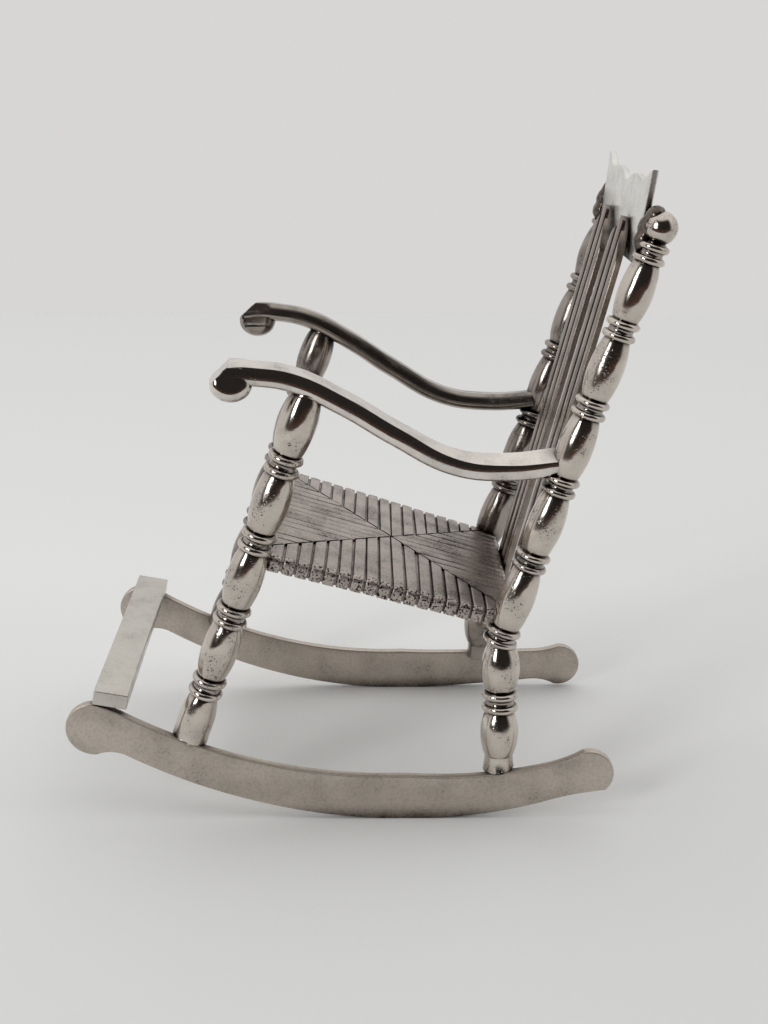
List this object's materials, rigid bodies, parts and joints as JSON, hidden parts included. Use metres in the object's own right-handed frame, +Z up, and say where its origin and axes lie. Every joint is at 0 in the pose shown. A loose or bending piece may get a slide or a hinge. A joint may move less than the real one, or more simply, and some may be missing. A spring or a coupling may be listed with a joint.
{
  "type": "miniature rocking chair",
  "caption": "Miniature metal rocking chair with turned posts, curved arms, a rush-pattern seat, a slatted back with a scalloped crest, and a foot bar across curved runners.",
  "frame": {"origin": "on the floor, below the middle of the chair's box", "axes": "+X to the sitter's left, +Y to the rear, +Z up"},
  "size_m": [0.038, 0.0636, 0.0702],
  "materials": {
    "runner_left": "silver, satin, worn bright on the edges",
    "runner_right": "silver, satin, worn bright on the edges",
    "foot_bar": "silver, satin with file marks",
    "front_post_left": "silver, polished, dark in the grooves",
    "front_post_right": "silver, polished, dark in the grooves",
    "rear_post_left": "silver, polished, dark in the grooves",
    "rear_post_right": "silver, polished, dark in the grooves",
    "arm_left": "silver, polished",
    "arm_right": "silver, polished",
    "seat": "silver, satin, dark between the strands",
    "crest": "silver, brushed",
    "back_slat_left": "silver, satin, dark in the flute",
    "back_slat_right": "silver, satin, dark in the flute"
  },
  "bodies": {
    "root": {"runner_left": "runner_left", "runner_right": "runner_right", "foot_bar": "foot_bar", "front_post_left": "front_post_left", "front_post_right": "front_post_right", "rear_post_left": "rear_post_left", "rear_post_right": "rear_post_right", "arm_left": "arm_left", "arm_right": "arm_right", "seat": "seat", "crest": "crest", "back_slat_left": "back_slat_left", "back_slat_right": "back_slat_right"}
  },
  "joints": []
}
